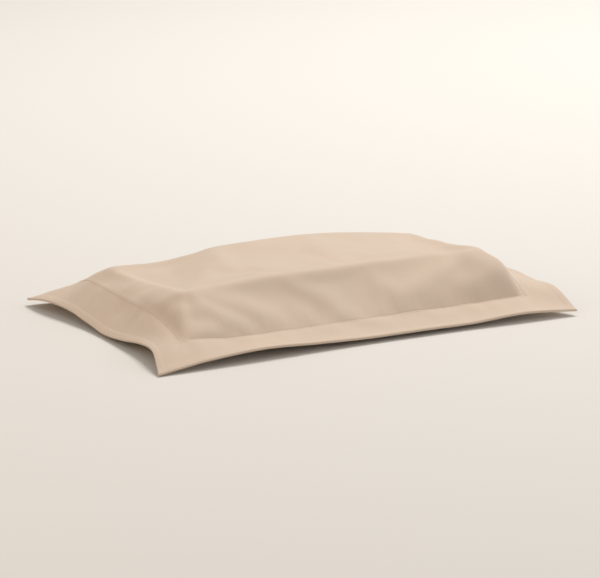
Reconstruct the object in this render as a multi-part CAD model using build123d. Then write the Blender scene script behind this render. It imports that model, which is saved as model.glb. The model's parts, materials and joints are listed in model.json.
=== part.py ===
"""A flanged treatment-bed pillow: a zipped case with a wide flat border, and the fibre-filled insert in it.

Millimetres. +Z is up and the pillow rests on Z = 0, centred on the origin. X runs along its long side.
The case's back panel is closed by a coil zip that lies in the sloping rim of the underside, near the +Y edge.
"""

import os
from math import atan2, cos, degrees, radians, sin

from build123d import *

# ---- case: finished sizes, stuffed ----
case_length = 600.0
case_width = 420.0
flange_width = 50.0
pocket_corner = 18.0
seam_z = 22.0
flange_edge_z = 6.0
top_z = 76.0
fabric = 0.8

# ---- the crown's shoulder: a quarter ellipse that starts already leaning in at the seam ----
shoulder_run = 52.0
shoulder_start_deg = 22.0
shoulder_sections = 5
crown_corner = 62.0

# ---- the underside: a flat patch on the bed, and a straight rim that rises to the seam ----
patch_length = 440.0
patch_width = 240.0
patch_corner = 14.0

# ---- threads of the border's row, measured outwards from the pocket's outline ----
thread = 0.5
topstitch_offset = 2.0
topstitch_width = 0.7

# ---- care label ----
care_label_length = 28.0
care_label_reach = 24.0
care_label_x = -150.0
care_label_start = 4.0
care_label_thickness = 0.5

# ---- insert ----
insert_length = 480.0
insert_width = 300.0
insert_corner = 16.0
insert_patch_length = 424.0
insert_patch_width = 224.0
insert_patch_z = 1.0
insert_top_z = 74.6
ticking = 0.6
fill_gap = 0.2
seam_allowance = 4.0
overlock_start = 1.2
overlock_reach = 0.7
closing_seam_half = 60.0
closing_seam_offset = 0.3
closing_seam_width = 0.6
insert_label_gap = 0.1
insert_label_reach = 3.0
insert_label_y = 60.0
insert_label_length = 28.0
insert_label_thickness = 0.6

# ---- zip: local x runs along it, local y across it towards the case's edge, local z inwards ----
zip_half = 203.0
zip_fabric_gap = 4.5
tape_half_length = 210.0
tape_edge = 13.0
tape_thickness = 0.6
chain_half = 197.0
neck_clearance = 0.55
coil_width = 2.3
coil_height = 1.8
coil_round = 0.8
stitch_row = 7.5
stitch_row_width = 0.6
stitch_row_end = 3.0
stop_length = 3.0
stop_wall = 0.5
stop_half_gap = 0.2

# ---- slider ----
slider_x = 188.0
slider_length = 9.5
slider_width = 7.6
slider_plate = 0.9
slider_round = 2.2
slider_clearance = 0.15
neck_length = 3.0
neck_set_back = 1.2
bridge_half = 3.2
bridge_width = 2.2
bridge_wall = 1.0
bridge_rise = 3.3
bridge_round = 1.6

# ---- pull ----
pull_bar_radius = 0.7
pull_thickness = 1.2
pull_width = 6.4
pull_reach = 30.0
pull_yoke = 4.5
pull_round = 2.4
pull_arm_gap = 0.35
pull_arm_width = 1.3
pull_arm_overlap = 0.6
pull_hole_radius = 1.4
pull_hole_set_back = 5.5

# ---- heights that every cutter runs past ----
cutter_low = -100.0
cutter_high = 200.0

# ---- worked out from the sizes above ----
pocket_length = case_length - 2 * flange_width
pocket_width = case_width - 2 * flange_width
rim_run = (pocket_width - patch_width) / 2
rim_deg = degrees(atan2(seam_z, rim_run))
coil_inner_z = fabric
coil_outer_z = fabric - coil_height
tape_inner_z = fabric + tape_thickness
top_plate_z = coil_outer_z - slider_clearance
bottom_plate_z = tape_inner_z + slider_clearance
bridge_foot_z = top_plate_z - slider_plate
bar_z = bridge_foot_z - (bridge_rise - bridge_wall) / 2
stop_reach = neck_clearance + coil_width + stop_wall

# The zip's plane: its origin is on the outer face of the rim, half way up, and its z points into the pillow.
zip_plane = Plane(
    origin=(0, (patch_width + pocket_width) / 4, seam_z / 2),
    x_dir=(1, 0, 0),
    z_dir=(0, -sin(radians(rim_deg)), cos(radians(rim_deg))),
)


# ---- shared shapes ----
def rounded(length, width, corner, z):
    """A rounded rectangle about the Z axis, at height z."""
    return Plane.XY.offset(z) * RectangleRounded(length, width, corner)


def prism(length, width, corner, z_low, z_high):
    """An upright block with rounded corners, between two heights."""
    return extrude(rounded(length, width, corner, z_low), z_high - z_low)


def pocket_prism(grow):
    """A tall block over the pocket's outline, grown outwards all round."""
    return prism(
        pocket_length + 2 * grow, pocket_width + 2 * grow, pocket_corner + grow, cutter_low, cutter_high
    )


def insert_prism(grow, z_low, z_high):
    """A block over the insert's outline, grown outwards all round."""
    return prism(
        insert_length + 2 * grow, insert_width + 2 * grow, insert_corner + grow, z_low, z_high
    )


def bar(x_low, x_high, y_low, y_high, z_low, z_high):
    """A block given by its limits along each axis."""
    block = Box(x_high - x_low, y_high - y_low, z_high - z_low)
    return Pos((x_low + x_high) / 2, (y_low + y_high) / 2, (z_low + z_high) / 2) * block


def crown(length, width, corner, z_low, z_high):
    """The pillow's upper half as a solid: outlines that draw in along a quarter ellipse as they rise."""
    start = radians(shoulder_start_deg)
    end = radians(90)
    outlines = []
    for i in range(shoulder_sections):
        share = i / (shoulder_sections - 1)
        turn = start + (end - start) * share
        inset = shoulder_run * (cos(start) - cos(turn))
        rise = (sin(turn) - sin(start)) / (1 - sin(start))
        radius = corner + (crown_corner - corner) * share
        z = z_low + (z_high - z_low) * rise
        outlines.append(rounded(length - 2 * inset, width - 2 * inset, radius, z))
    return loft(outlines)


def tray(length, width, corner, low_length, low_width, low_corner, z_low, z_high):
    """The pillow's lower half as a solid: a flat patch with straight sloping sides up to the seam."""
    low = rounded(low_length, low_width, low_corner, z_low)
    high = rounded(length, width, corner, z_high)
    return loft([low, high], ruled=True)


def flange_roof(lift):
    """The solid under the border's slope, from the case's edge up to the pocket, raised by lift."""
    foot = Plane.XY.offset(flange_edge_z + lift) * Rectangle(case_length, case_width)
    ridge = Plane.XY.offset(seam_z + lift) * Rectangle(pocket_length, pocket_width)
    return loft([foot, ridge], ruled=True)


def flange_layer(lift, thickness, inner_grow):
    """One layer of the sloping border. Its hole is the pocket's outline, grown outwards."""
    edge = Plane.XY.offset(flange_edge_z + lift) * Rectangle(case_length, case_width)
    upright_edge = extrude(edge, thickness)
    return (flange_roof(lift + thickness) + upright_edge) - flange_roof(lift) - pocket_prism(inner_grow)


def in_zip(shape):
    """Moves a shape that was made about the zip's own axes to its place in the rim."""
    return zip_plane.location * shape


# ---- case ----
def case_top_panel():
    """The upper panel and its layer of the border, cut in one piece."""
    outer = crown(pocket_length, pocket_width, pocket_corner, seam_z, top_z)
    inner = crown(
        pocket_length - 2 * fabric,
        pocket_width - 2 * fabric,
        pocket_corner - fabric,
        seam_z,
        top_z - fabric,
    )
    return (outer - inner) + flange_layer(0, fabric, -fabric)


def whole_back():
    """The back of the case before the zip divides it: the tray and its layer of the border."""
    outer = tray(
        pocket_length,
        pocket_width,
        pocket_corner,
        patch_length,
        patch_width,
        patch_corner,
        0,
        seam_z,
    )
    rim_wall = fabric / sin(radians(rim_deg))
    lift = fabric * rim_run / seam_z
    inner = tray(
        pocket_length - 2 * rim_wall,
        pocket_width - 2 * rim_wall,
        pocket_corner,
        patch_length - 2 * rim_wall + 2 * lift,
        patch_width - 2 * rim_wall + 2 * lift,
        patch_corner,
        fabric,
        seam_z,
    )
    return (outer - inner) + flange_layer(-fabric, fabric, -fabric)


def back_cutter():
    """The half space beyond the zip's centre line, towards the +Y edge."""
    return in_zip(bar(-case_length, case_length, 0, case_width, -case_width, case_width))


def zip_opening():
    """The gap between the two folded edges, where the zip's chain shows."""
    return in_zip(
        bar(-zip_half, zip_half, -zip_fabric_gap, zip_fabric_gap, -fabric * 2, fabric * 2)
    )


def case_back_panel():
    """The large back panel, from the near edge to the zip."""
    return whole_back() - back_cutter() - zip_opening()


def case_back_strip():
    """The narrow back panel, between the zip and the +Y edge."""
    return (whole_back() & back_cutter()) - zip_opening()


def stitch_loop(lift):
    """One thread of the row that holds the two layers of the border together around the pocket."""
    ring = flange_layer(lift, thread, topstitch_offset)
    return ring & pocket_prism(topstitch_offset + topstitch_width)


def flange_topstitch():
    """Needle thread above the border and bobbin thread below it."""
    return Compound([stitch_loop(fabric), stitch_loop(-fabric - thread)])


def care_label():
    """A blank folded ribbon, caught in the pocket seam and lying under the +Y border."""
    layer = flange_layer(-fabric - care_label_thickness, care_label_thickness, care_label_start)
    y_low = pocket_width / 2 + care_label_start
    return layer & bar(
        care_label_x,
        care_label_x + care_label_length,
        y_low,
        y_low + care_label_reach,
        cutter_low,
        cutter_high,
    )


# ---- zip ----
def zip_tape(side):
    """One woven tape, flat against the inside of the case. side is -1 for the near one, 1 for the far one."""
    edges = sorted((side * neck_clearance, side * tape_edge))
    return in_zip(bar(-tape_half_length, tape_half_length, *edges, fabric, tape_inner_z))


def zip_coil(side):
    """One side of the chain, as the outer shape of its coil."""
    edges = sorted((side * neck_clearance, side * (neck_clearance + coil_width)))
    coil = bar(-chain_half, chain_half, *edges, coil_outer_z, coil_inner_z)
    outer_edges = coil.edges().filter_by(Axis.X).group_by(Axis.Z)[0]
    return in_zip(fillet(outer_edges, coil_round))


def staple(x_low, y_low, y_high):
    """A crimped metal stop over the chain: a block with the coil and the tape taken out of it."""
    block = bar(
        x_low,
        x_low + stop_length,
        y_low,
        y_high,
        coil_outer_z - stop_wall,
        tape_inner_z + stop_wall,
    )
    return in_zip(block) - zip_coil(-1) - zip_coil(1) - zip_tape(-1) - zip_tape(1)


def zip_bottom_stop():
    """The stop over both coils at the -X end."""
    return staple(-chain_half, -stop_reach, stop_reach)


def zip_top_stops():
    """A stop on each coil at the +X end."""
    x_low = chain_half - stop_length
    near = staple(x_low, -stop_reach, -stop_half_gap)
    far = staple(x_low, stop_half_gap, stop_reach)
    return Compound([near, far])


def zip_topstitch():
    """The rows that sew the tapes to the case's back, with a bar across each end."""
    outer_x = zip_half + stitch_row_end
    inner_x = outer_x - stitch_row_width
    inner_y = stitch_row - stitch_row_width
    rows = bar(-outer_x, outer_x, -stitch_row, stitch_row, -thread, 0)
    inside = bar(-inner_x, inner_x, -inner_y, inner_y, -thread, 0)
    return in_zip(rows - inside)


def slider_plate_block(z_low):
    """One of the slider's two plates, with rounded corners."""
    half_length = slider_length / 2
    half_width = slider_width / 2
    plate = bar(-half_length, half_length, -half_width, half_width, z_low, z_low + slider_plate)
    return fillet(plate.edges().filter_by(Axis.Z), slider_round)


def slider_wall(side):
    """The wall that closes one side of the slider, between its plates."""
    half_width = slider_width / 2
    inner_y = neck_clearance + coil_width + 2 * slider_clearance
    half_length = slider_length / 2 - slider_round
    edges = sorted((side * inner_y, side * half_width))
    return bar(-half_length, half_length, *edges, top_plate_z, fabric - slider_clearance)


def slider_neck():
    """The wedge between the coils, which joins the two plates."""
    x_high = slider_length / 2 - neck_set_back
    half_width = neck_clearance - slider_clearance
    return bar(x_high - neck_length, x_high, -half_width, half_width, top_plate_z, bottom_plate_z)


def bridge():
    """The arch on the slider's outer plate."""
    crown_z = bridge_foot_z - bridge_rise
    arch = bar(
        -bridge_half, bridge_half, -bridge_width / 2, bridge_width / 2, crown_z, bridge_foot_z
    )
    arch = fillet(arch.edges().filter_by(Axis.Y).group_by(Axis.Z)[0], bridge_round)
    opening = bar(
        -bridge_half + bridge_wall,
        bridge_half - bridge_wall,
        -bridge_width,
        bridge_width,
        crown_z + bridge_wall,
        bridge_foot_z,
    )
    return arch - opening


def zip_slider():
    """Two plates around the chain, their side walls, the neck between the coils, and the pull's bridge."""
    plates = slider_plate_block(top_plate_z - slider_plate) + slider_plate_block(bottom_plate_z)
    slider = plates + slider_wall(-1) + slider_wall(1) + slider_neck() + bridge()
    return in_zip(Pos(slider_x, 0, 0) * slider)


def zip_pull():
    """The pull: a round bar under the bridge, two arms and a tapered tab, lying back along the chain."""
    arm_inner = bridge_width / 2 + pull_arm_gap
    arm_outer = arm_inner + pull_arm_width
    low = bar_z - pull_thickness / 2
    high = bar_z + pull_thickness / 2
    pivot = Pos(0, 0, bar_z) * Rot(90, 0, 0) * Cylinder(pull_bar_radius, 2 * arm_outer)
    arms = [
        bar(-pull_yoke - pull_arm_overlap, 0, *sorted((side * arm_inner, side * arm_outer)), low, high)
        for side in (-1, 1)
    ]
    tab_outline = make_face(
        Polyline(
            (-pull_yoke, -arm_outer),
            (-pull_yoke, arm_outer),
            (-pull_reach, pull_width / 2),
            (-pull_reach, -pull_width / 2),
            (-pull_yoke, -arm_outer),
        )
    )
    tab = extrude(Plane.XY.offset(low) * tab_outline, pull_thickness)
    tip_edges = tab.edges().filter_by(Axis.Z).group_by(Axis.X)[0]
    tab = fillet(tip_edges, pull_round)
    hole_x = -pull_reach + pull_hole_set_back
    hole = Pos(hole_x, 0, bar_z) * Cylinder(pull_hole_radius, pull_thickness * 2)
    return in_zip(Pos(slider_x, 0, 0) * (pivot + arms + (tab - hole)))


# ---- insert ----
def insert_upper(inset):
    """The insert's upper half as a solid, drawn in by inset all round."""
    return crown(
        insert_length - 2 * inset,
        insert_width - 2 * inset,
        insert_corner - inset,
        seam_z,
        insert_top_z - inset,
    )


def insert_lower(inset):
    """The insert's lower half as a solid, drawn in by inset all round."""
    return tray(
        insert_length - 2 * inset,
        insert_width - 2 * inset,
        insert_corner - inset,
        insert_patch_length - 2 * inset,
        insert_patch_width - 2 * inset,
        patch_corner - inset,
        insert_patch_z + inset,
        seam_z,
    )


def allowance(z_low, z_high):
    """The narrow edge of ticking outside the insert's seam."""
    hole = insert_prism(-ticking / 2, cutter_low, cutter_high)
    return insert_prism(seam_allowance, z_low, z_high) - hole


def insert_ticking_top():
    """The insert's upper cover."""
    shell = insert_upper(0) - insert_upper(ticking)
    return shell + allowance(seam_z, seam_z + ticking)


def insert_ticking_bottom():
    """The insert's lower cover."""
    shell = insert_lower(0) - insert_lower(ticking)
    return shell + allowance(seam_z - ticking, seam_z)


def insert_overlock():
    """The overlock thread that binds the edge of the two covers."""
    ring = insert_prism(
        seam_allowance + overlock_reach, seam_z - ticking - thread, seam_z + ticking + thread
    )
    hole = insert_prism(overlock_start, cutter_low, cutter_high)
    edge = insert_prism(seam_allowance, seam_z - ticking, seam_z + ticking)
    return ring - hole - edge


def insert_closing_seam():
    """The hand-sized row of stitches that shuts the filling gap, in the middle of the -X end."""
    x_high = -insert_length / 2 - closing_seam_offset
    x_low = x_high - closing_seam_width
    rows = [
        bar(x_low, x_high, -closing_seam_half, closing_seam_half, z_low, z_low + thread)
        for z_low in (seam_z + ticking, seam_z - ticking - thread)
    ]
    return Compound(rows)


def insert_fill():
    """The block of carded fibre that fills the insert."""
    inset = ticking + fill_gap
    return insert_upper(inset) + insert_lower(inset)


def insert_label():
    """A blank label caught in the insert's seam at its +X end, lying on the edge of the upper cover."""
    x_low = insert_length / 2 + seam_allowance + overlock_reach + insert_label_gap
    half_thickness = insert_label_thickness / 2
    return bar(
        x_low,
        x_low + insert_label_reach,
        insert_label_y,
        insert_label_y + insert_label_length,
        seam_z - half_thickness,
        seam_z + half_thickness,
    )


parts = {
    "case_top_panel": case_top_panel(),
    "case_back_panel": case_back_panel(),
    "case_back_strip": case_back_strip(),
    "flange_topstitch": flange_topstitch(),
    "care_label": care_label(),
    "zip_tape_near": zip_tape(-1),
    "zip_tape_far": zip_tape(1),
    "zip_coil_near": zip_coil(-1),
    "zip_coil_far": zip_coil(1),
    "zip_bottom_stop": zip_bottom_stop(),
    "zip_top_stops": zip_top_stops(),
    "zip_topstitch": zip_topstitch(),
    "zip_slider": zip_slider(),
    "zip_pull": zip_pull(),
    "insert_ticking_top": insert_ticking_top(),
    "insert_ticking_bottom": insert_ticking_bottom(),
    "insert_overlock": insert_overlock(),
    "insert_closing_seam": insert_closing_seam(),
    "insert_fill": insert_fill(),
    "insert_label": insert_label(),
}

os.makedirs("parts", exist_ok=True)
for name, shape in parts.items():
    export_step(shape, f"parts/{name}.step")
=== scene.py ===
"""The looks of the flanged treatment-bed pillow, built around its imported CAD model. Metres.

The case is a cloth grid that is settled by simulation. Its surface is then sampled finely, and the panels,
their stitches, the labels and the insert are built on it. The zip is built on its own flat plane.
"""

import json
import math

import bpy
import numpy as np
from mathutils import Matrix, Vector


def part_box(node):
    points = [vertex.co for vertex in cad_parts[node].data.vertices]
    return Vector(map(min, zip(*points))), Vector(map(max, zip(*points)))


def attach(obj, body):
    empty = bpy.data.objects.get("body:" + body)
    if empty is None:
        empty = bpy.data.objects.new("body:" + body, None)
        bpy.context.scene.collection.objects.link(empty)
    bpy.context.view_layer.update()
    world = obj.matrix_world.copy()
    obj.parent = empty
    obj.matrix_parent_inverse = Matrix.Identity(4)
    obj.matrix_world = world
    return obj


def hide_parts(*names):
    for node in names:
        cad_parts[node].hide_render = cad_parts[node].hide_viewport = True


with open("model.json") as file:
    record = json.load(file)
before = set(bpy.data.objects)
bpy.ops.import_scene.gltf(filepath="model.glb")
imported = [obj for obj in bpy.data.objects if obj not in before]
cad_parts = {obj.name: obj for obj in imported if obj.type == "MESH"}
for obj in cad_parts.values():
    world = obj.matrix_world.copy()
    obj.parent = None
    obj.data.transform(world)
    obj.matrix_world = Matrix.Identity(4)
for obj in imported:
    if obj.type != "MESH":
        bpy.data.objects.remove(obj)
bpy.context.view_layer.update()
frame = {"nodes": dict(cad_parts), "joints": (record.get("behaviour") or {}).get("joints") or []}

mm = 0.001

# ---- sizes read from the frame ----
case_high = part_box("case_top_panel")[1]
half_length = case_high.x
half_width = case_high.y
top_z = case_high.z
seam_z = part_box("case_back_panel")[1].z
row_outer = 2.7 * mm
row_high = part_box("flange_topstitch")[1]
pocket_x = row_high.x - row_outer
pocket_y = row_high.y - row_outer
flange = half_length - pocket_x
# Half of the flat patch on which the pillow rests.
patch_x = 0.220
patch_y = 0.120

# ---- the cloth's grid, and how often its two surfaces are smoothed once it has settled ----
border_cells = 8
pocket_cells_x = 84
pocket_cells_y = 54
top_passes = 5
under_passes = 14
# The underside's middle surface never lies lower than this.
least_height = 0.55 * mm

# ---- sewing ----
row_offset = 2.35 * mm
row_pitch = 3.6 * mm
fabric = 0.8 * mm
layer_at_seam = 0.95 * mm
thread_radius = 0.20 * mm
hem_allowance = 9 * mm
edge_round = 1.6 * mm

# ---- insert ----
allowance_x, allowance_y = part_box("insert_ticking_top")[1].xy
insert_x = allowance_x - 4 * mm
insert_y = allowance_y - 4 * mm

# ---- zip: its plane is worked out from the joint on which the pull swings ----
pull_joint = next(joint for joint in frame["joints"] if joint["name"] == "pull_swing")
zip_along = Vector((1, 0, 0))
zip_across = -Vector(pull_joint["axis"]).normalized()
zip_inwards = zip_along.cross(zip_across)
zip_outwards = -np.array(zip_inwards)
pull_bar_depth = -3.2 * mm
zip_origin = Vector(pull_joint["pos_m"]) - pull_bar_depth * zip_inwards
zip_origin.x = 0
zip_half = 203 * mm
zip_gap = 4.5 * mm
zip_row = 7.2 * mm
chain_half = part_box("zip_coil_near")[1].x
chain_pitch = 1.36 * mm
tape_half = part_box("zip_tape_near")[1].x
tape_inner_edge = 0.62 * mm
tape_outer_edge = 12.9 * mm
tape_depth = 1.1 * mm
# The part of the underside round the zip that the cloth keeps still, and the part that isn't smoothed.
zip_zone_y = patch_y - 0.002
pinned_zip_x = 0.218
unsmoothed_zip_x = 0.224

# ---- camera: where it stands from the middle of the pillow's base ----
camera_place = Vector((-1.8925, -4.0217, 1.1435))
camera_roll = math.radians(-1.41)
camera_lens = 206
camera_aim = Vector((-0.004, 0, 0.030))


def smooth(t):
    """0 below 0, 1 above 1, and a smooth step between them."""
    t = np.clip(t, 0, 1)
    return t * t * (3 - 2 * t)


def hill(t):
    """A round hill about 0, which fades by 2."""
    return np.exp(-t * t)


def unit(vectors):
    """The same directions, one long."""
    return vectors / np.maximum(np.linalg.norm(vectors, axis=-1, keepdims=True), 1e-12)


def from_seam(x, y):
    """How far outside the pocket's outline a point is: along X, along Y, and the greater of the two."""
    out_x = np.abs(x) - pocket_x
    out_y = np.abs(y) - pocket_y
    return out_x, out_y, np.maximum(out_x, out_y)


def box_sides(x, y):
    """The four sides of a rectangle round the middle, each with its start, its end and its length."""
    corners = [np.array(corner) for corner in ((-x, -y), (x, -y), (x, y), (-x, y))]
    for start, end in zip(corners, corners[1:] + corners[:1]):
        yield start, end, np.linalg.norm(end - start)


# ---- meshes and objects ----
def put(name, data):
    """A new object in the scene."""
    made = bpy.data.objects.new(name, data)
    bpy.context.scene.collection.objects.link(made)
    return made


def turn_to(thing, turn):
    thing.rotation_mode = "QUATERNION"
    thing.rotation_quaternion = turn


def mesh_object(name, points, faces):
    """A smoothly shaded mesh. Its faces are lists of point numbers."""
    mesh = bpy.data.meshes.new(name)
    mesh.from_pydata(np.asarray(points, float).tolist(), [], faces)
    mesh.shade_smooth()
    return put(name, mesh)


def level_square(name, half):
    """A square in the plane Z = 0."""
    corners = [(-half, -half, 0), (half, -half, 0), (half, half, 0), (-half, half, 0)]
    return mesh_object(name, corners, [(0, 1, 2, 3)])


def finish_piece(piece, material, slot, *nodes):
    """Gives a piece of the cushion its material, hangs it on the cushion's body and hides the CAD nodes that
    it stands for.
    """
    piece.data.materials.append(material)
    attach(piece, "cushion")
    if nodes:
        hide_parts(*nodes)
    return piece


# ---- materials ----
def new_material(name, colour, roughness):
    """A plain material, and a short way to write more nodes into it."""
    material = bpy.data.materials.new(name)
    material.use_nodes = True
    nodes = Nodes(material)
    nodes.set(Base_Color=(*colour, 1), Roughness=roughness)
    return material, nodes


class Nodes:
    """A short way to write a material's nodes."""

    def __init__(self, material):
        self.tree = material.node_tree
        self.shader = self.tree.nodes["Principled BSDF"]

    def add(self, kind, links=None, **values):
        node = self.tree.nodes.new(kind)
        for name, value in values.items():
            if hasattr(node, name):
                setattr(node, name, value)
            else:
                node.inputs[name.replace("_", " ")].default_value = value
        for socket, source in (links or {}).items():
            self.tree.links.new(source, node.inputs[socket])
        return node

    def place(self):
        return self.add("ShaderNodeTexCoord").outputs["Object"]

    def noise(self, place, scale, detail):
        return self.add("ShaderNodeTexNoise", {"Vector": place}, Scale=scale, Detail=detail).outputs["Fac"]

    def stripes(self, place, axis, pitch, distortion):
        """Bands across an axis, a pitch apart. At scale 1 the node's own bands lie pi / 10 apart."""
        scale = 2 * math.pi / pitch / 20
        values = {"bands_direction": axis, "Scale": scale, "Distortion": distortion}
        return self.add("ShaderNodeTexWave", {"Vector": place}, **values).outputs["Fac"]

    def combine(self, operation, first, second):
        node = self.tree.nodes.new("ShaderNodeMath")
        node.operation = operation
        for socket, value in zip(node.inputs, (first, second)):
            if isinstance(value, (int, float)):
                socket.default_value = value
            else:
                self.tree.links.new(value, socket)
        return node.outputs[0]

    def plus(self, first, second, share):
        """The first value and a share of the second."""
        return self.combine("ADD", first, self.combine("MULTIPLY", second, share))

    def tint(self, factor, dark, light):
        """Colours the material between two colours, by a factor from 0 to 1."""
        ramp = self.tree.nodes.new("ShaderNodeValToRGB")
        for element, position, colour in zip(ramp.color_ramp.elements, (0.3, 0.7), (dark, light)):
            element.position = position
            element.color = (*colour, 1)
        self.tree.links.new(factor, ramp.inputs[0])
        self.tree.links.new(ramp.outputs["Color"], self.shader.inputs["Base Color"])

    def roughness(self, factor, low, high):
        node = self.add("ShaderNodeMapRange", {"Value": factor}, To_Min=low, To_Max=high)
        self.tree.links.new(node.outputs["Result"], self.shader.inputs["Roughness"])

    def bump(self, height, strength, distance):
        node = self.add("ShaderNodeBump", {"Height": height}, Strength=strength, Distance=distance)
        self.tree.links.new(node.outputs["Normal"], self.shader.inputs["Normal"])

    def set(self, **values):
        """Sets constants on the shader."""
        for name, value in values.items():
            self.shader.inputs[name.replace("_", " ")].default_value = value


def shades(colour, spread):
    """A darker and a lighter neighbour of a colour."""
    return [tuple(channel * (1 + sign * spread) for channel in colour) for sign in (-1, 1)]


def woven(name, colour, roughness, pitch, relief, mottle=0.03, sheen=0.0, warmth=0.0, rumple=0.0):
    """Plain-woven or sateen cloth: crossing yarns, a soft nap, and a slight unevenness of the dye."""
    material, nodes = new_material(name, colour, roughness)
    place = nodes.place()
    warp = nodes.stripes(place, "X", pitch, 0.4)
    weft = nodes.stripes(place, "Y", pitch * 1.15, 0.4)
    cloth = nodes.combine("MAXIMUM", warp, nodes.combine("MULTIPLY", weft, 0.85))
    nap = nodes.noise(place, 900, 2.0)
    clouds = nodes.noise(place, 9, 4.0)
    slubs = nodes.noise(place, 160, 3.0)
    height = nodes.plus(nodes.plus(cloth, nap, 0.7), slubs, 0.5)
    height = nodes.plus(height, nodes.noise(place, 55, 2.0), rumple / relief)
    nodes.bump(height, 0.5, relief)
    dark, light = shades(colour, mottle)
    light = (light[0] * (1 + warmth), light[1], light[2] * (1 - warmth))
    nodes.tint(nodes.plus(nodes.combine("MULTIPLY", clouds, 0.75), slubs, 0.25), dark, light)
    nodes.roughness(slubs, roughness - 0.06, roughness + 0.06)
    nodes.set(Sheen_Weight=sheen, Sheen_Roughness=0.45, Specular_IOR_Level=0.25)
    return material


def spun(name, colour, roughness, pitch):
    """Sewing thread: plies that run round it, with a little gloss."""
    material, nodes = new_material(name, colour, roughness)
    place = nodes.place()
    plies = nodes.stripes(place, "DIAGONAL", pitch, 0.5)
    fuzz = nodes.noise(place, 1500, 2.0)
    nodes.tint(fuzz, *shades(colour, 0.05))
    nodes.bump(nodes.plus(plies, fuzz, 0.4), 0.5, 0.08 * mm)
    nodes.roughness(fuzz, roughness - 0.05, roughness + 0.1)
    return material


def nylon(name, colour):
    """The zip's coil: smooth dyed monofilament."""
    material, nodes = new_material(name, colour, 0.38)
    grain = nodes.noise(nodes.place(), 700, 2.0)
    nodes.tint(grain, *shades(colour, 0.03))
    nodes.roughness(grain, 0.30, 0.45)
    nodes.bump(grain, 0.2, 0.03 * mm)
    return material


def lacquered_metal(name, colour):
    """Die-cast zip metal under a thin baked paint, worn a little duller in patches."""
    material, nodes = new_material(name, colour, 0.35)
    place = nodes.place()
    patches = nodes.noise(place, 260, 4.0)
    pits = nodes.noise(place, 2200, 2.0)
    nodes.tint(patches, *shades(colour, 0.06))
    nodes.roughness(patches, 0.26, 0.48)
    nodes.bump(pits, 0.25, 0.03 * mm)
    nodes.set(Metallic=0.35, Coat_Weight=0.4, Coat_Roughness=0.2)
    return material


def fibre(name, colour):
    """Carded polyester: a cloud of fine white fibres."""
    material, nodes = new_material(name, colour, 0.95)
    place = nodes.place()
    tufts = nodes.noise(place, 70, 6.0)
    strands = nodes.noise(place, 900, 4.0)
    nodes.tint(tufts, *shades(colour, 0.05))
    nodes.bump(nodes.plus(tufts, strands, 0.3), 0.8, 1.2 * mm)
    nodes.set(Sheen_Weight=0.3)
    return material


# ---- camera, floor and light ----
def make_camera():
    data = bpy.data.cameras.new("camera")
    data.lens = camera_lens
    data.clip_end = 50
    camera = put("camera", data)
    camera.location = camera_place
    aim = (camera_aim - camera_place).to_track_quat("-Z", "Y")
    turn_to(camera, aim @ Matrix.Rotation(camera_roll, 4, "Z").to_quaternion())
    bpy.context.scene.camera = camera


def make_floor():
    floor = level_square("floor", 8.0)
    floor.data.materials.append(new_material("floor", (0.76, 0.74, 0.705), 0.9)[0])


def make_area_light(name, place, size, power, colour):
    data = bpy.data.lights.new(name, "AREA")
    data.shape = "DISK"
    data.size = size
    data.energy = power
    data.color = colour
    light = put(name, data)
    light.location = place
    turn_to(light, (-Vector(place)).to_track_quat("-Z", "Y"))


def make_lights():
    world = bpy.data.worlds.new("studio")
    world.use_nodes = True
    background = world.node_tree.nodes["Background"]
    background.inputs["Color"].default_value = (1.0, 0.98, 0.95, 1)
    background.inputs["Strength"].default_value = 0.47
    bpy.context.scene.world = world
    bpy.context.scene.view_settings.view_transform = "Standard"
    make_area_light("key", (2.1, 1.65, 3.7), 2.0, 152, (1.0, 0.955, 0.91))
    make_area_light("cool_side", (1.9, -2.3, 0.9), 1.4, 9, (0.88, 0.94, 1.0))
    make_area_light("warm_side", (-2.3, -0.7, 0.9), 1.8, 9, (1.0, 0.66, 0.36))


# ---- the case before it settles ----
def along(values, share):
    """A smooth line through evenly spaced values, read at a share from 0 to 1 of its length."""
    values = np.asarray(values, float)
    place = np.clip(share, 0, 1) * (len(values) - 1)
    first = np.clip(np.floor(place).astype(int), 0, len(values) - 2)
    t = place - first
    padded = np.concatenate([[2 * values[0] - values[1]], values, [2 * values[-1] - values[-2]]])
    p0, p1, p2, p3 = (padded[first + k] for k in range(4))
    return p1 + 0.5 * t * (p2 - p0 + t * (2 * p0 - 5 * p1 + 4 * p2 - p3 + t * (3 * (p1 - p2) + p3 - p0)))


def soft_least(values, softness):
    """Nearly the least of several values, rounded where two are alike."""
    stack = np.stack(values)
    least = stack.min(0)
    return least - softness * np.log(np.exp(-(stack - least) / softness).sum(0))


def sides(x, y):
    """How far inside the pocket's outline a point is from its -X, +X, -Y and +Y sides."""
    return pocket_x + x, pocket_x - x, pocket_y + y, pocket_y - y


def seam_height(x, y):
    """The seam's height round the pocket. Its short sides ride up with the filling, most of all at -X."""
    start = 0.170 + 0.046 * smooth((y - 0.03) / 0.07)
    left = smooth((-x - start) / (pocket_x - start))
    near = smooth((-y - 0.05) / 0.11)
    far_corner = smooth((y - 0.13) / 0.04)
    right = smooth((x - start) / (pocket_x - start)) * (1 - smooth((y - 0.02) / 0.12))
    near_right = smooth((-y - 0.115) / 0.045)
    return seam_z + left * (0.023 - 0.015 * near - 0.006 * far_corner) + right * (0.018 - 0.016 * near_right)


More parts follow.
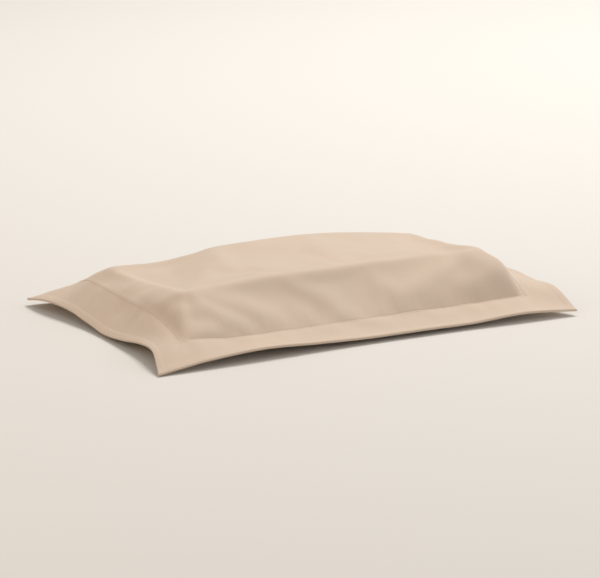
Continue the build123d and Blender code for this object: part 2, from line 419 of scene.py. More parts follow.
# The border's outer edge above the bed, from one corner to the next, in metres.
near_edge = (0.002, 0.011, 0.015, 0.011, 0.008, 0.008, 0.008, 0.012, 0.007)
far_edge = (0.007, 0.010, 0.005, 0.004, 0.006, 0.007, 0.004, 0.007, 0.006)
left_edge = (0.002, 0.019, 0.016, 0.009, 0.005, 0.008, 0.014, 0.016, 0.009)
right_edge = (0.006, 0.027, 0.025, 0.027, 0.024, 0.021, 0.019, 0.012, 0.006)
# How far each side of the border's edge is drawn in between its corners. The left side, at -X, is drawn in
# unevenly, so it has its own row of stations from -Y to +Y.
near_pull = 0.010
far_pull = 0.006
right_pull = 0.004
left_pull = (0.000, 0.014, 0.019, 0.016, 0.013, 0.012, 0.008, 0.003, 0.000)
# How far the far -X corner is drawn out beyond the plan, each way.
far_left_reach = 0.009


def edge_height(x, y):
    """The border's edge height, blended from the two sides that meet at each corner."""
    share_x = (x + half_length) / (2 * half_length)
    share_y = (y + half_width) / (2 * half_width)
    out_x, out_y, _ = from_seam(x, y)
    blend = smooth((out_x - out_y) / 0.036 + 0.5)
    lengthwise = np.where(y < 0, along(near_edge, share_x), along(far_edge, share_x))
    crosswise = np.where(x < 0, along(left_edge, share_y), along(right_edge, share_y))
    return lengthwise + (crosswise - lengthwise) * blend


def border_share(x, y):
    """0 at the seam and 1 at the border's edge."""
    return np.clip(from_seam(x, y)[2] / flange, 0, 1)


def crown_height(x, y):
    """The stuffed pocket's upper surface: a low plateau, with a shoulder of its own width on each side."""
    left, right, near, far = sides(x, y)
    run_near = 0.080 - 0.014 * smooth((x - 0.16) / 0.07)
    run_far = 0.056 - 0.026 * smooth((-x - 0.10) / 0.11)
    run_left = 0.036 - 0.008 * smooth((y - 0.02) / 0.08)
    run_right = 0.034 - 0.010 * smooth((-y - 0.095) / 0.03)
    share = soft_least([left / run_left, right / run_right, near / run_near, far / run_far], 0.050)
    share = np.clip(share, 0, 1.6)
    shoulder = 1 - np.clip(1 - share, 0, 1) ** 1.75
    far_left = smooth((-x - 0.08) / 0.14) * smooth((y + 0.06) / 0.17)
    right_end = smooth((x - 0.05) / 0.16)
    tilt = 0.013 * smooth(-y / 0.10) - 0.006 - 0.006 * smooth(y / 0.09)
    rise = 0.0035
    plateau = top_z - rise - 0.011 * far_left + right_end * tilt
    dome = rise * (1 - (x / pocket_x) ** 2) * (1 - (y / pocket_y) ** 2)
    lumps = 0.0013 * np.sin(14 * x + 2.0 * np.cos(9 * y)) + 0.0010 * np.cos(23 * y + 11 * x)
    base = seam_height(x, y)
    return base + (plateau - base + lumps) * shoulder + dome * np.clip(share, 0, 1)


def border_height(x, y):
    """The border, leaving the seam in line with the slope above it and flattening towards its edge."""
    share = border_share(x, y)
    high = seam_height(np.clip(x, -pocket_x, pocket_x), np.clip(y, -pocket_y, pocket_y))
    steep = 1.57 - 0.45 * smooth((-x - 0.19) / 0.05) - 0.35 * smooth((x - 0.24) / 0.03)
    fall = 1 - (1 - share) ** steep
    return high + (edge_height(x, y) - high) * fall


def under_height(x, y):
    """The lower surface of the stuffed pocket: a flat patch and a straight rim up to the seam."""
    left, right, near, far = sides(x, y)
    run_x = pocket_x - patch_x
    run_y = pocket_y - patch_y
    inside = soft_least([left / run_x, right / run_x, near / run_y, far / run_y], 0.05)
    return seam_height(x, y) * np.clip(1 - inside, 0, 1) + 0.5 * mm


def drawn_in(x, y):
    """Where a point of the plan comes to lie once the sides are drawn in between the corners."""
    mid_x = np.clip(1 - (x / half_length) ** 2, 0, 1)
    mid_y = np.clip(1 - (y / half_width) ** 2, 0, 1)
    strength = 0.4 + 0.6 * border_share(x, y)
    lengthwise = np.where(y < 0, near_pull, far_pull) * strength
    left = along(left_pull, (y + half_width) / (2 * half_width))
    crosswise = np.where(x < 0, left, right_pull * mid_y) * strength
    corner = smooth((np.abs(x) - 0.19) / 0.11) * smooth((np.abs(y) - 0.10) / 0.11)
    reach = corner * np.where((x < 0) & (y > 0), far_left_reach, 0.0)
    new_x = x * (1 - crosswise * smooth((np.abs(x) - 0.10) / 0.15) / half_length)
    new_y = y * (1 - lengthwise * mid_x * smooth((np.abs(y) - 0.05) / 0.11) / half_width)
    return new_x - reach, new_y + reach


def quads(index, flip=False):
    """The cells of a grid of point numbers as faces."""
    a, b, c, d = index[:-1, :-1], index[1:, :-1], index[1:, 1:], index[:-1, 1:]
    return np.stack((a, d, c, b) if flip else (a, b, c, d), -1)


def grid_lines(half, pocket, cells):
    """Lines for the cloth's grid, with one on the seam."""
    return np.concatenate([
        np.linspace(-half, -pocket, border_cells + 1)[:-1],
        np.linspace(-pocket, pocket, cells + 1),
        np.linspace(pocket, half, border_cells + 1)[1:],
    ])


class CaseGrid:
    """The cloth of the case as one mesh: the whole top with its border, and the pocket's underside."""

    def __init__(self):
        self.xs = grid_lines(half_length, pocket_x, pocket_cells_x)
        self.ys = grid_lines(half_width, pocket_y, pocket_cells_y)
        self.x, self.y = np.meshgrid(self.xs, self.ys, indexing="ij")
        columns, rows = self.x.shape
        self.top = np.arange(columns * rows).reshape(columns, rows)
        first = slice(border_cells, columns - border_cells)
        second = slice(border_cells, rows - border_cells)
        self.pocket = (first, second)
        self.under = self.top[first, second].copy()
        inner = self.under[1:-1, 1:-1]
        self.under[1:-1, 1:-1] = self.top.size + np.arange(inner.size).reshape(inner.shape)
        in_pocket = (np.abs(self.x) <= pocket_x + 1e-9) & (np.abs(self.y) <= pocket_y + 1e-9)
        heights = np.where(in_pocket, crown_height(self.x, self.y), border_height(self.x, self.y))
        drawn_x, drawn_y = drawn_in(self.x, self.y)
        top = np.stack([drawn_x, drawn_y, heights], -1).reshape(-1, 3)
        ux = self.x[first, second][1:-1, 1:-1]
        uy = self.y[first, second][1:-1, 1:-1]
        under = np.stack([ux, uy, under_height(ux, uy)], -1).reshape(-1, 3)
        self.points = np.concatenate([top, under])

    def top_points(self, points):
        """The whole top, with the border's middle surface."""
        return points[self.top]

    def back_points(self, points):
        """The pocket's underside, with the same border."""
        index = self.top.copy()
        index[self.pocket] = self.under
        return points[index]

    def eased(self, points):
        """The same points without their smallest wrinkles or the creases at the two short seams."""
        points = points.copy()
        out_x, out_y, out = from_seam(self.x, self.y)
        short_side = smooth((out_x - out_y) / 0.03 + 0.5)
        at_seam = hill(out / 0.004)
        weight = 0.5 * (1 - at_seam * (1 - 0.8 * short_side))
        sheet = points[self.top]
        for turn in range(top_passes):
            padded = np.pad(sheet, ((1, 1), (1, 1), (0, 0)), mode="reflect", reflect_type="odd")
            around = padded[:-2, 1:-1] + padded[2:, 1:-1] + padded[1:-1, :-2] + padded[1:-1, 2:]
            sheet = sheet + (around / 4 - sheet) * weight[..., None]
        points[self.top] = sheet
        under = points[self.under]
        at_zip = (self.y[self.pocket] > zip_zone_y) & (np.abs(self.x[self.pocket]) < unsmoothed_zip_x)
        weight = np.where(at_zip, 0, 0.5)[1:-1, 1:-1, None]
        for turn in range(under_passes):
            around = under[:-2, 1:-1] + under[2:, 1:-1] + under[1:-1, :-2] + under[1:-1, 2:]
            under[1:-1, 1:-1] += (around / 4 - under[1:-1, 1:-1]) * weight
        under[1:-1, 1:-1, 2] = np.maximum(under[1:-1, 1:-1, 2], least_height)
        points[self.under[1:-1, 1:-1]] = under[1:-1, 1:-1]
        return points

    def faces(self):
        """All of the cloth's faces."""
        both = [quads(self.top), quads(self.under, flip=True)]
        return np.concatenate([faces.reshape(-1, 4) for faces in both])


def weigh(cloth, name, weights):
    """A vertex group with one weight for each vertex."""
    group = cloth.vertex_groups.new(name=name)
    levels = np.round(np.asarray(weights, float), 3)
    for level in np.unique(levels):
        if level > 0:
            group.add(np.nonzero(levels == level)[0].tolist(), float(level), "REPLACE")


def settle(grid):
    """Runs the cloth simulation and returns the settled points."""
    cloth = mesh_object("case_cloth", grid.points, grid.faces().tolist())
    count = len(grid.points)
    in_pocket = np.zeros(count)
    in_pocket[grid.under.ravel()] = 1
    in_pocket[grid.top[grid.pocket].ravel()] = 1
    weigh(cloth, "pressure", in_pocket)
    taut = np.zeros(count)
    ring = np.unique(np.concatenate([grid.under[0], grid.under[-1], grid.under[:, 0], grid.under[:, -1]]))
    taut[ring] = 1
    weigh(cloth, "taut", taut)
    # How firmly each point is held where it starts.
    anywhere, more_at_edge, at_seam, at_zip = 0.05, 0.25, 0.35, 1
    share = border_share(grid.x, grid.y).ravel()
    hold = np.full(count, anywhere)
    hold[: len(share)] += more_at_edge * share
    hold[ring] = at_seam
    is_under = np.zeros(count, bool)
    is_under[grid.under.ravel()] = True
    zip_zone = is_under & (grid.points[:, 1] > zip_zone_y) & (np.abs(grid.points[:, 0]) < pinned_zip_x)
    hold[zip_zone] = at_zip
    weigh(cloth, "hold", hold)

    bed = level_square("bed_surface", 1)
    bed.modifiers.new("collision", "COLLISION")
    bed.collision.thickness_outer = 0.001
    bed.collision.cloth_friction = 10

    modifier = cloth.modifiers.new("cloth", "CLOTH")
    settings = modifier.settings
    settings.quality = 6
    settings.mass = 0.002
    settings.air_damping = 2
    ways = {"tension": (30, 8), "compression": (30, 8), "shear": (12, 8), "bending": (0.4, 0.6)}
    for way, (stiffness, damping) in ways.items():
        setattr(settings, way + "_stiffness", stiffness)
        setattr(settings, way + "_damping", damping)
    settings.vertex_group_mass = "hold"
    settings.pin_stiffness = 2.0
    settings.shrink_min = -0.014
    settings.shrink_max = 0.0
    settings.vertex_group_shrink = "taut"
    settings.use_pressure = True
    settings.uniform_pressure_force = 0.25
    settings.vertex_group_pressure = "pressure"
    modifier.collision_settings.distance_min = 0.001
    modifier.collision_settings.collision_quality = 3
    scene = bpy.context.scene
    frames = 40
    modifier.point_cache.frame_start = 1
    modifier.point_cache.frame_end = frames
    for number in range(1, frames + 1):
        scene.frame_set(number)
    solved = cloth.evaluated_get(bpy.context.evaluated_depsgraph_get())
    out = np.zeros(count * 3, np.float32)
    solved.data.vertices.foreach_get("co", out)
    scene.frame_set(1)
    bpy.data.objects.remove(cloth)
    bpy.data.objects.remove(bed)
    return out.reshape(-1, 3).astype(float)


class Surface:
    """A settled sheet that can be read at any place of its plan, with a smooth curve through its points."""

    def __init__(self, xs, ys, points):
        self.xs = xs
        self.ys = ys
        self.points = points

    def at(self, x, y):
        place_x = np.interp(x, self.xs, np.arange(len(self.xs)))
        place_y = np.interp(y, self.ys, np.arange(len(self.ys)))
        first_x = np.clip(np.floor(place_x).astype(int), 0, len(self.xs) - 2)
        first_y = np.clip(np.floor(place_y).astype(int), 0, len(self.ys) - 2)
        weight_x = self.weights(place_x - first_x)
        weight_y = self.weights(place_y - first_y)
        total = 0
        for i in range(4):
            column = np.clip(first_x + i - 1, 0, len(self.xs) - 1)
            for j in range(4):
                row = np.clip(first_y + j - 1, 0, len(self.ys) - 1)
                total = total + (weight_x[i] * weight_y[j])[..., None] * self.points[column, row]
        return total

    @staticmethod
    def weights(t):
        """The four weights of a Catmull-Rom curve."""
        return (
            0.5 * (-t + 2 * t**2 - t**3),
            0.5 * (2 - 5 * t**2 + 3 * t**3),
            0.5 * (t + 4 * t**2 - 3 * t**3),
            0.5 * (-(t**2) + t**3),
        )

    def normal(self, x, y):
        """The unit normal, upwards."""
        step = 1.5 * mm
        d_x = self.at(x + step, y) - self.at(x - step, y)
        d_y = self.at(x, y + step) - self.at(x, y - step)
        return unit(np.cross(d_x, d_y))


def sunk(points, side, depth):
    """A grid of points moved against its own normals. side is -1 where they point down."""
    normal = unit(np.cross(np.gradient(points, axis=0), np.gradient(points, axis=1)))
    return points - normal * side * depth


def shell(name, outer, inner, keep=None, flip=False):
    """A closed sheet between two grids of points. keep says which cells it has."""
    columns, rows = outer.shape[:2]
    count = columns * rows
    if keep is None:
        keep = np.ones((columns - 1, rows - 1), bool)
    index = np.arange(count).reshape(columns, rows)
    a, b, c, d = np.moveaxis(quads(index), -1, 0)
    faces = [quads(index)[keep], quads(index, flip=True)[keep] + count]
    grown = np.zeros((columns + 1, rows + 1), bool)
    grown[1:-1, 1:-1] = keep
    walls = (
        (grown[1:-1, :-2], a, b),
        (grown[2:, 1:-1], b, c),
        (grown[1:-1, 2:], c, d),
        (grown[:-2, 1:-1], d, a),
    )
    for neighbour, first, second in walls:
        open_side = keep & ~neighbour
        near, far = first[open_side], second[open_side]
        faces.append(np.stack([far, near, near + count, far + count], -1))
    faces = np.concatenate([f.reshape(-1, 4) for f in faces])
    if flip:
        faces = faces[:, ::-1]
    points = np.concatenate([outer.reshape(-1, 3), inner.reshape(-1, 3)])
    used, faces = np.unique(faces, return_inverse=True)
    return mesh_object(name, points[used], faces.reshape(-1, 4).tolist())


def tube_rings(path, radii, side_count, normals):
    """Rings of points round a path."""
    tangent = unit(np.gradient(path, axis=0))
    up = unit(normals - (normals * tangent).sum(1, keepdims=True) * tangent)
    side = np.cross(tangent, up)
    turn = np.arange(side_count) * 2 * math.pi / side_count
    ring = np.cos(turn)[None, :, None] * side[:, None] + np.sin(turn)[None, :, None] * up[:, None]
    return path[:, None] + ring * np.asarray(radii)[:, None, None]


def tube_faces(ring_count, side_count, start=0):
    """The faces of one capped tube."""
    ring = np.arange(side_count)
    following = (ring + 1) % side_count
    faces = []
    for k in range(ring_count - 1):
        low = start + k * side_count
        high = low + side_count
        faces += np.stack([low + ring, high + ring, high + following, low + following], -1).tolist()
    faces.append((start + ring).tolist())
    faces.append((start + (ring_count - 1) * side_count + ring[::-1]).tolist())
    return faces


class ThreadMesh:
    """Many short tubes in one mesh."""

    def __init__(self):
        self.points = []
        self.faces = []
        self.count = 0

    def tube(self, path, radii, normals, side_count=6):
        rings = tube_rings(path, radii, side_count, normals)
        self.points.append(rings.reshape(-1, 3))
        self.faces += tube_faces(len(path), side_count, self.count)
        self.count += len(path) * side_count

    def stitch(self, first, last, normal, radius=thread_radius, bow=0.10 * mm):
        """One stitch on a surface: it comes up, lies along it and goes down again."""
        share = np.array([0.0, 0.07, 0.25, 0.5, 0.75, 0.93, 1.0])
        lift = np.array([-1.3, -0.35, 0.45, 0.62, 0.45, -0.35, -1.3]) * radius + bow * np.sin(math.pi * share)
        path = first + (last - first) * share[:, None] + normal * lift[:, None]
        radii = radius * np.array([0.75, 0.95, 1, 1, 1, 0.95, 0.75])
        self.tube(path, radii, np.repeat(normal[None], len(share), 0))

    def make(self, name):
        return mesh_object(name, np.concatenate(self.points), self.faces)


# ---- the case's panels ----
def fine_lines(half, pocket, cell, also=()):
    """Lines for a fine grid: even over the pocket, and close together at the seam and the border's edge."""
    count = round((2 * pocket - 24 * mm) / cell)
    middle = np.linspace(-pocket + 12 * mm, pocket - 12 * mm, count + 1)
    inner = pocket - np.array([9, 6.5, 4.5, 3, 1.9, 1.1, 0.5, 0]) * mm
    outer = pocket + np.array([0.6, 1.2, 1.8, 2.35, 2.9, 3.6, 4.8, 6.8, 9.5, 13, 17, 21.5, 26, 30.5, 35]) * mm
    edge = half - np.array([11.5, 9.6, 8.4, 6.6, 4.6, 2.9, 1.7, 1.0, 0.45, 0.15, 0]) * mm
    side = np.concatenate([inner, outer, edge])
    lines = np.unique(np.round(np.concatenate([middle, side, -side, also]), 7))
    close = np.diff(lines) < 0.1 * mm
    return lines[np.concatenate([[True], ~close])]


# Three waves: strength, pitch in mm, and how far, how often and from where each one's pitch wanders.
pucker_waves = ((1.0, 11.3, 2.2, 31, 0), (0.6, 7.1, 1.7, 53, 1), (0.8, 23, 2, 17, 0))


def puckers(x, y):
    """The small ripples that sewing draws along the pocket's seam."""
    out_x, out_y, out = from_seam(x, y)
    along_side = np.where(out_x > out_y, y, x)
    ripple = 0
    for strength, pitch, sway, rate, start in pucker_waves:
        wander = sway * np.sin(rate * along_side + start)
        ripple = ripple + strength * np.sin(2 * math.pi * along_side / (pitch * mm) + wander)
    reach = np.where(out > 0, 12 * mm, 17 * mm)
    grip = hill(out / reach) * (1 - 0.75 * hill(out / (1.4 * mm)))
    return 0.10 * mm * ripple * grip


def layer_height(x, y):
    """How far the outer face of one border layer stands off the border's middle surface."""
    out = from_seam(x, y)[2]
    from_edge = np.clip(np.minimum(half_length - np.abs(x), half_width - np.abs(y)), 0, None)
    puff = 0.35 * mm * smooth(out / (15 * mm))
    hem = 0.45 * mm * smooth((hem_allowance + 1 * mm - from_edge) / (2 * mm))
    round_share = np.clip(1 - from_edge / edge_round, 0, 1)
    rounding = np.sqrt(np.clip(1 - 0.97 * round_share**2, 0.01, 1))
    return np.where(out > 0, (layer_at_seam + puff + hem) * rounding, layer_at_seam)


def sewn_relief(x, y, side):
    """The furrows at the seam and under the stitches, and the puckers. The back's are half as deep."""
    out_x, out_y, out = from_seam(x, y)
    short_side = smooth((out_x - out_y) / (30 * mm) + 0.5)
    furrow = (0.70 - 0.55 * short_side) * mm * hill(out / (1.3 * mm))
    row = (0.20 - 0.08 * short_side) * mm * hill((out - row_offset) / (0.9 * mm))
    return (puckers(x, y) - furrow - row) * (1 if side > 0 else 0.5)


def panel_faces(surface, x, y, side):
    """The outer and the inner face of a panel. side is 1 for the top and -1 for the back."""
    base = surface.at(x, y)
    normal = surface.normal(x, y) * side
    in_border = smooth(1 + from_seam(x, y)[2] / (4 * mm))
    height = layer_height(x, y)
    relief = sewn_relief(x, y, side) * (height / layer_at_seam).clip(0, 1)
    outer = in_border * height + (1 - in_border) * fabric / 2 + relief
    inner_border = np.maximum(0.05 * mm, height - fabric)
    inner_border = np.minimum(inner_border, height * 0.5)
    inner = in_border * inner_border - (1 - in_border) * fabric / 2 + relief * (1 - in_border)
    inner = np.minimum(inner, outer - 0.06 * mm)
    return base + normal * outer[..., None], base + normal * inner[..., None]


def make_case_top(top):
    cell = 3.2 * mm
    xs = fine_lines(half_length, pocket_x, cell)
    ys = fine_lines(half_width, pocket_y, cell)
    x, y = np.meshgrid(xs, ys, indexing="ij")
    return shell("case_top", *panel_faces(top, x, y, 1))


def zip_line(distance):
    """The plan's y of a line that lies at this distance across the zip from its middle."""
    return zip_origin.y + distance * zip_across.y


def make_case_back(back):
    """The large back panel and the strip beyond the zip, as two pieces."""
    near, far = zip_line(-zip_gap), zip_line(zip_gap)
    folds = [near, near - 0.5 * mm, near - 1.4 * mm, far, far + 0.5 * mm, far + 1.4 * mm, zip_origin.y]
    cell = 3.6 * mm
    xs = fine_lines(half_length, pocket_x, cell, [-zip_half, zip_half])
    ys = fine_lines(half_width, pocket_y, cell, folds)
    x, y = np.meshgrid(xs, ys, indexing="ij")
    outer, inner = panel_faces(back, x, y, -1)
    middle_x = (xs[1:] + xs[:-1])[:, None] / 2
    middle_y = (ys[1:] + ys[:-1])[None, :] / 2
    in_opening = (np.abs(middle_x) < zip_half) & (np.abs(middle_y - zip_origin.y) < zip_gap * zip_across.y)
    beyond = middle_y > zip_origin.y + 0 * middle_x
    panel = shell("case_back", outer, inner, ~beyond & ~in_opening, flip=True)
    strip = shell("case_strip", outer, inner, beyond & ~in_opening, flip=True)
    return panel, strip


# ---- stitches ----
def row_stitches(threads, surface, side, stitch_length):
    """The row round the pocket, on the top or on the back of the border."""
    lift = 0.05 * mm
    for start, end, length in box_sides(pocket_x + row_offset, pocket_y + row_offset):
        count = round(length / row_pitch)
        starts = (np.arange(count) + 0.5 * (1 - stitch_length / row_pitch)) * length / count
        for begin in starts:
            ends = [start + (end - start) * place / length for place in (begin, begin + stitch_length)]
            x, y = np.array(ends).T
            normal = surface.normal(x, y) * side
            height = layer_height(x, y) + sewn_relief(x, y, side)
            points = surface.at(x, y) + normal * (height + lift)[:, None]
            threads.stitch(points[0], points[1], normal[0])


def make_topstitch(top, back):
    threads = ThreadMesh()
    row_stitches(threads, top, 1, 2.9 * mm)
    row_stitches(threads, back, -1, 2.7 * mm)
    return threads.make("border_stitches")


def in_zip(along_zip, across, inwards):
    """A point given along the zip, across it and into the pillow."""
    return np.array(zip_origin + zip_along * along_zip + zip_across * across + zip_inwards * inwards)


def make_zip_stitches():
    """The two rows that hold the tapes, and a double bar across each end."""
    threads = ThreadMesh()
    pitch = 3.2 * mm
    stitch_length = 2.6 * mm
    reach = zip_half + 2.6 * mm
    count = round(2 * reach / pitch)
    for across in (-zip_row, zip_row):
        for k in range(count):
            begin = -reach + (k + 0.1) * 2 * reach / count
            threads.stitch(in_zip(begin, across, 0), in_zip(begin + stitch_length, across, 0), zip_outwards)
    bar_count = round(2 * zip_row / pitch)
    for end in (-reach, reach):
        for shift in (-0.5 * mm, 0.5 * mm):
            for k in range(bar_count):
                begin = -zip_row + (k + 0.1) * 2 * zip_row / bar_count
                first = in_zip(end + shift, begin, 0)
                threads.stitch(first, in_zip(end + shift, begin + stitch_length, 0), zip_outwards)
    return threads.make("zip_stitches")


# ---- zip ----
def make_coil(side):
    """One side of the chain: a monofilament in flattened turns, whose heads mesh with the other side's."""
    pitch = chain_pitch
    turns = int(2 * (chain_half - 0.4 * mm) / pitch)
    steps = 10
    wire = 0.33 * mm
    head = -0.30 * mm
    foot = 2.55 * mm
    depth = 0.56 * mm
    middle_depth = -0.12 * mm
    count = turns * steps + 1
    turn = np.arange(count) / steps
    phase = 2 * math.pi * turn
    squared = np.sign(np.cos(phase)) * np.abs(np.cos(phase)) ** 0.7
    across = (head + foot) / 2 - squared * (foot - head) / 2
    inwards = middle_depth + np.sin(phase) * depth
    lengthwise = -turns * pitch / 2 + turn * pitch + (pitch / 2 if side > 0 else 0) - pitch / 4
    swell = 1 + 0.28 * np.clip(np.cos(phase), 0, 1) ** 4
    path = np.stack([in_zip(a, side * b, c) for a, b, c in zip(lengthwise, across, inwards)])
    threads = ThreadMesh()
    threads.tube(path, wire * swell, np.repeat(np.array(zip_along)[None], count, 0))
    return threads.make("coil_far" if side > 0 else "coil_near")


def make_coil_stitches():
    """The thread that sews each coil to its tape: one stitch over every turn, in two rows a side."""
    threads = ThreadMesh()
    count = int(2 * (chain_half - 3 * mm) / chain_pitch)
    over_coil = -0.93 * mm
    for side in (-1, 1):
        shift = chain_pitch / 4 * side
        for across in (1.15 * mm, 1.95 * mm):
            for k in range(count):
                begin = (k - count / 2) * chain_pitch + shift
                first = in_zip(begin, side * across, over_coil)
                last = in_zip(begin + 0.92 * chain_pitch, side * (across + 0.12 * mm), over_coil)
                threads.stitch(first, last, zip_outwards, radius=0.11 * mm, bow=0.02 * mm)
    return threads.make("coil_stitches")


def make_tape(side):
    """One woven tape: thick under the coil, thin in its middle, with a raised selvedge at its outer edge."""
    lengthwise = np.linspace(-tape_half, tape_half, 211)
    across = tape_inner_edge + (tape_outer_edge - tape_inner_edge) * np.linspace(0, 1, 22)
    x, out = np.meshgrid(lengthwise, across, indexing="ij")
    under_coil = 0.12 * mm * hill((out - 2 * mm) / (1.6 * mm))
    selvedge = 0.10 * mm * hill((tape_outer_edge - out) / (0.9 * mm))
    thick = 0.46 * mm + under_coil + selvedge
    wave = 0.05 * mm * np.sin(210 * x + 60 * out) * smooth(out / (8 * mm))
    along_tape = np.array(zip_origin) + x[..., None] * np.array(zip_along)
    plane = along_tape + side * out[..., None] * np.array(zip_across)
    inwards = np.array(zip_inwards)
    outer_face = plane + inwards * (tape_depth - thick / 2 + wave)[..., None]
    inner_face = plane + inwards * (tape_depth + thick / 2 + wave)[..., None]
    return shell("tape_far" if side > 0 else "tape_near", inner_face, outer_face, flip=side < 0)


def soften(node, width):
    """Rounds the edges of a CAD node that stays as it is."""
    bevel = frame["nodes"][node].modifiers.new("soft_edges", "BEVEL")
    bevel.width = width
    bevel.segments = 2
    bevel.limit_method = "ANGLE"
    bevel.angle_limit = math.radians(35)
    bevel.harden_normals = False


# ---- labels ----
half_ribbon = 0.11 * mm


def make_care_label(back):
    """A blank ribbon, folded in half and caught in the seam under the far border."""
    low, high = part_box("care_label")
    inset = 0.4 * mm
    length = high.y - pocket_y - inset
    fold = 0.34 * mm
    leg = np.linspace(0, 1, 14)
    turn = np.linspace(-0.5, 0.5, 9)[1:-1] * math.pi
    along_ribbon = np.concatenate([leg * length, length + fold * np.cos(turn), leg[::-1] * length])
    depth = np.concatenate([0 * leg, fold * (1 + np.sin(turn)), 2 * fold + 0 * leg])
    x, out = np.meshgrid(np.linspace(low.x, high.x, 17), along_ribbon, indexing="ij")
    curl = 1.1 * mm * (out / length) ** 2 * (0.6 + 0.4 * np.sin(90 * (x - low.x)))
    y = pocket_y + inset + out
    under_border = 1.75 * mm
    middle = back.at(x, y) - back.normal(x, y) * (under_border + curl + depth[None])[..., None]
    return shell("case_label", sunk(middle, 1, half_ribbon), sunk(middle, 1, -half_ribbon), flip=True)


def make_insert_label(insert):
    """A blank label caught in the insert's seam."""
    low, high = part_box("insert_label")
    x, y = np.meshgrid(np.linspace(low.x, high.x, 9), np.linspace(low.y, high.y, 15), indexing="ij")
    ripple = 0.25 * mm * np.sin(160 * y)
    middle = insert.middle(x, y)
    middle[..., 2] -= insert.seam_half + 0.5 * mm + ripple
    return shell("insert_tag", sunk(middle, 1, -half_ribbon), sunk(middle, 1, half_ribbon))


# ---- insert ----
class Insert:
    """The insert fills the settled case, a little inside it."""

    clearance = 1.9 * mm
    seam_half = 0.63 * mm
    ticking = 0.6 * mm

    def __init__(self, top, back):
        self.top = top
        self.back = back

    def middle(self, x, y):
        """The middle of the case's hollow at a place of the plan."""
        return (self.top.at(x, y) + self.back.at(x, y)) / 2

    def swell(self, x, y):
        """0 at the insert's seam, and 1 where the insert fills the case."""
        from_edge = soft_least([insert_x - np.abs(x), insert_y - np.abs(y)], 2.5 * mm)
        share = np.clip((from_edge + 0.5 * mm) / (14 * mm), 0, 1)
        return np.sqrt(1 - (1 - share) ** 2)

    def face(self, x, y, side):
        """The insert's outer face. side is 1 for the upper one and -1 for the lower one."""
        surface = self.top if side > 0 else self.back
        middle = self.middle(x, y)
        full = surface.at(x, y) - surface.normal(x, y) * side * self.clearance
        share = self.swell(x, y)[..., None]
        lumps = np.sin(60 * x + 2 * np.sin(47 * y)) * np.sin(55 * y + 1.2)
        upright = np.array([0, 0, side * 1.0])
        seam_lift = upright * self.seam_half * (1 - share)
        dents = upright * 0.25 * mm * (lumps[..., None] + 1) * share
        return middle + (full - middle) * share + seam_lift - dents

    @staticmethod
    def lines(half, seam, cell):
        """Lines for a grid, close together at the seam and at the raw edge."""
        edge = np.array([0, 1.3, 2.6]) * mm
        side = seam - np.array([0, 0.35, 0.9, 1.7, 2.9, 4.5, 6.6, 9.4]) * mm
        steps = round((2 * seam - 26 * mm) / cell)
        middle = np.linspace(-seam + 13 * mm, seam - 13 * mm, steps + 1)
        lines = np.unique(np.round(np.concatenate([middle, side, -side, half - edge, edge - half]), 7))
        return lines[np.abs(lines) <= half + 1e-9]

    def cover(self, name, side):
        """One ticking panel, with the narrow flat edge outside its seam."""
        xs = self.lines(allowance_x, insert_x, 5 * mm)
        ys = self.lines(allowance_y, insert_y, 5 * mm)
        x, y = np.meshgrid(xs, ys, indexing="ij")
        outer = self.face(x, y, side)
        return shell(name, outer, sunk(outer, side, self.ticking), flip=side < 0)

    def fill(self):
        """The filling, a little inside both ticking panels."""
        rim = 2 * mm
        xs = self.lines(insert_x - rim, insert_x - rim, 6 * mm)
        ys = self.lines(insert_y - rim, insert_y - rim, 6 * mm)
        x, y = np.meshgrid(xs, ys, indexing="ij")
        depth = self.ticking + 0.5 * mm
        upper = sunk(self.face(x, y, 1), 1, depth)
        lower = sunk(self.face(x, y, -1), -1, depth)
        return shell("insert_fibre", upper, lower)

    def overlock(self):
        """Thread that loops over the raw edge all the way round."""
        threads = ThreadMesh()
        pitch = 2.6 * mm
        bite = 1.6 * mm
        rise = 1.05 * mm
        steps = 9
        for start, end, length in box_sides(allowance_x, allowance_y):
            forward = (end - start) / length
            outward = np.array([forward[1], -forward[0]])
            turns = round(length / pitch)
            phase = np.linspace(0, 2 * math.pi * turns, turns * steps + 1)
            travel = phase / (2 * math.pi * turns) * length
            out = bite * (np.cos(phase) - 1) + 0.3 * mm
            plan = start + forward * travel[:, None] + outward * out[:, None]
            path = self.middle(plan[:, 0], plan[:, 1])
            path[:, 2] += rise * np.sin(phase)
            normals = np.repeat([[forward[0], forward[1], 0.0]], len(path), 0)
            threads.tube(path, np.full(len(path), 0.2 * mm), normals, side_count=5)
        return threads.make("insert_overlock_thread")

    def closing_stitches(self):
        """The whipped stitches that shut the filling gap at the -X end."""
        threads = ThreadMesh()
        half = 58 * mm
        pitch = 4 * mm
        for y in np.arange(-half, half, pitch):
            for side in (-1, 1):
                x = np.array([-insert_x - 0.9 * mm, -insert_x - 1.5 * mm])
                ends = self.middle(x, np.array([y, y + 2.6 * mm]))
                ends[:, 2] += side * (self.seam_half + 0.1 * mm)
                threads.stitch(ends[0], ends[1], np.array([0, 0, float(side)]), radius=0.22 * mm)
        return threads.make("insert_closing_stitches")


# ---- everything ----
make_camera()
make_floor()
make_lights()

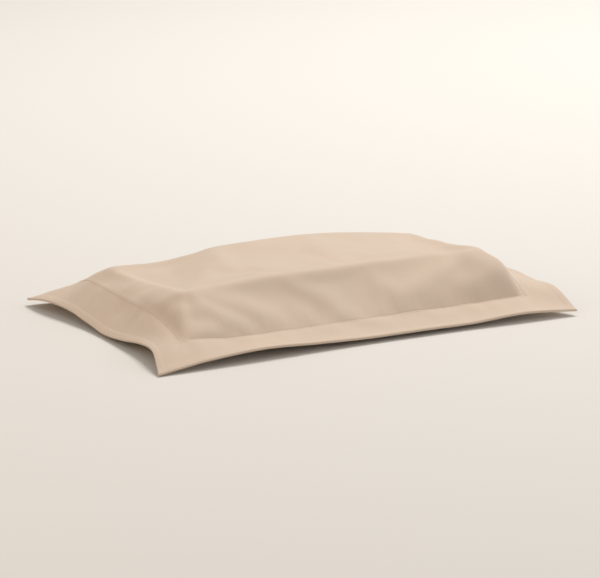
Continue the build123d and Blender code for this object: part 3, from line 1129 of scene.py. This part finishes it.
sateen_look = {"mottle": 0.026, "sheen": 0.22, "warmth": 0.01, "rumple": 0.35 * mm}
sateen = woven("case_sateen", (0.66, 0.535, 0.425), 0.72, 0.46 * mm, 0.055 * mm, **sateen_look)
case_thread = spun("case_thread", (0.70, 0.565, 0.45), 0.5, 0.45 * mm)
tape_cloth = woven("zip_tape_cloth", (0.60, 0.45, 0.32), 0.8, 0.5 * mm, 0.12 * mm, mottle=0.03)
coil_nylon = nylon("coil_nylon", (0.62, 0.47, 0.34))
zip_metal = lacquered_metal("zip_metal", (0.58, 0.43, 0.30))
ribbon = woven("label_ribbon", (0.86, 0.85, 0.81), 0.45, 0.3 * mm, 0.04 * mm, mottle=0.015, sheen=0.1)
ticking_cloth = woven("ticking_cloth", (0.88, 0.86, 0.82), 0.8, 0.55 * mm, 0.08 * mm, mottle=0.015)
insert_thread = spun("insert_thread", (0.90, 0.88, 0.84), 0.5, 0.45 * mm)
filling = fibre("carded_fibre", (0.92, 0.91, 0.89))

grid = CaseGrid()
points = grid.eased(settle(grid))
top_surface = Surface(grid.xs, grid.ys, grid.top_points(points))
back_surface = Surface(grid.xs, grid.ys, grid.back_points(points))

case_top = finish_piece(make_case_top(top_surface), sateen, "case_fabric", "case_top_panel")
case_back, case_strip = make_case_back(back_surface)
finish_piece(case_back, sateen, "case_fabric", "case_back_panel")
finish_piece(case_strip, sateen, "case_fabric", "case_back_strip")
stitches = make_topstitch(top_surface, back_surface)
finish_piece(stitches, case_thread, "case_thread", "flange_topstitch")
finish_piece(make_zip_stitches(), case_thread, "case_thread", "zip_topstitch")
for side, node in ((-1, "zip_coil_near"), (1, "zip_coil_far")):
    finish_piece(make_coil(side), coil_nylon, "zip_coil", node)
    finish_piece(make_tape(side), tape_cloth, "zip_tape", node.replace("coil", "tape"))
finish_piece(make_coil_stitches(), case_thread, "case_thread")
finish_piece(make_care_label(back_surface), ribbon, "label_ribbon", "care_label")

insert = Insert(top_surface, back_surface)
ticking_top = insert.cover("insert_cover_top", 1)
finish_piece(ticking_top, ticking_cloth, "ticking", "insert_ticking_top")
ticking_bottom = insert.cover("insert_cover_bottom", -1)
finish_piece(ticking_bottom, ticking_cloth, "ticking", "insert_ticking_bottom")
insert_fibre = finish_piece(insert.fill(), filling, "fibre", "insert_fill")
finish_piece(insert.overlock(), insert_thread, "insert_thread", "insert_overlock")
finish_piece(insert.closing_stitches(), insert_thread, "insert_thread", "insert_closing_seam")
finish_piece(make_insert_label(insert), ribbon, "label_ribbon", "insert_label")

# The zip's metal parts stay the CAD's own meshes. These widths of their rounded edges are in millimetres.
edge_widths = {"zip_slider": 0.28, "zip_pull": 0.28, "zip_bottom_stop": 0.2, "zip_top_stops": 0.2}
for node, width in edge_widths.items():
    materials = frame["nodes"][node].data.materials
    materials.clear()
    materials.append(zip_metal)
    soften(node, width * mm)
